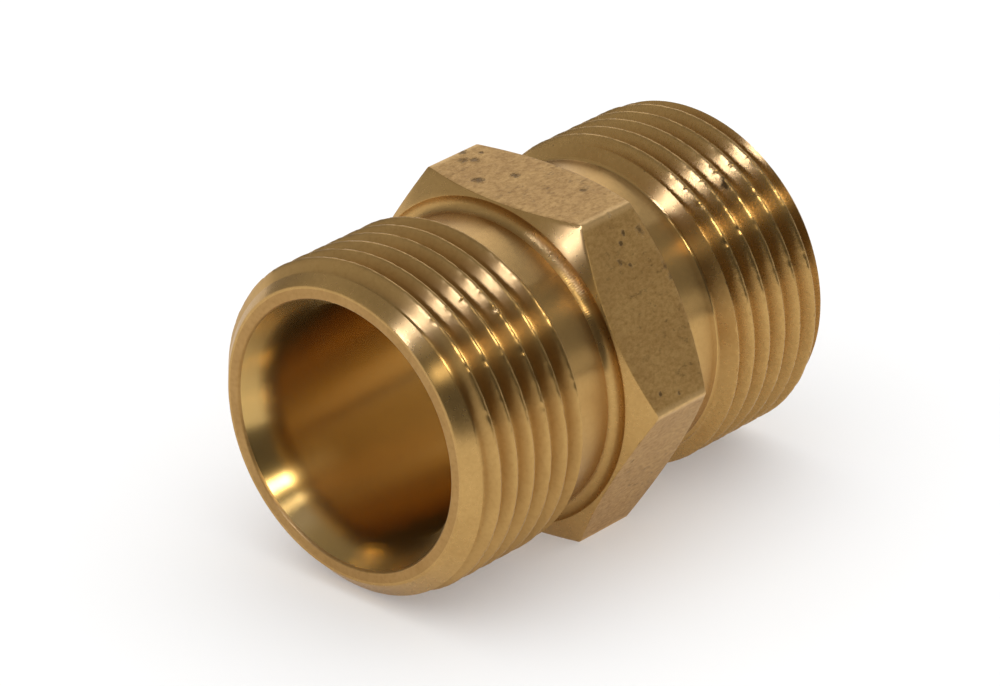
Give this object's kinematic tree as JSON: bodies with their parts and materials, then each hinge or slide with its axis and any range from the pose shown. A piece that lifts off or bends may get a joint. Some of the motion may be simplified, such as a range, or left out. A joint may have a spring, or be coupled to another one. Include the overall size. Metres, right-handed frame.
{
  "type": "hex nipple",
  "caption": "Double male pipe nipple in turned brass, with a hexagon between two threaded ends, a plain bore right through and a sealing cone in each mouth.",
  "frame": {"origin": "on the axis of the bore, in the middle of the hexagon, which is also the centre of the box", "axes": "+X along the bore from one thread to the other, +Z square to the hex flat that is uppermost, +Y towards a corner of the hexagon"},
  "size_m": [0.0338, 0.0254, 0.022],
  "materials": {
    "turned_brass": "turned on the ends and in the bore, drawn matt on the hex flats"
  },
  "bodies": {
    "root": {"hex_nipple": "turned_brass"}
  },
  "joints": []
}
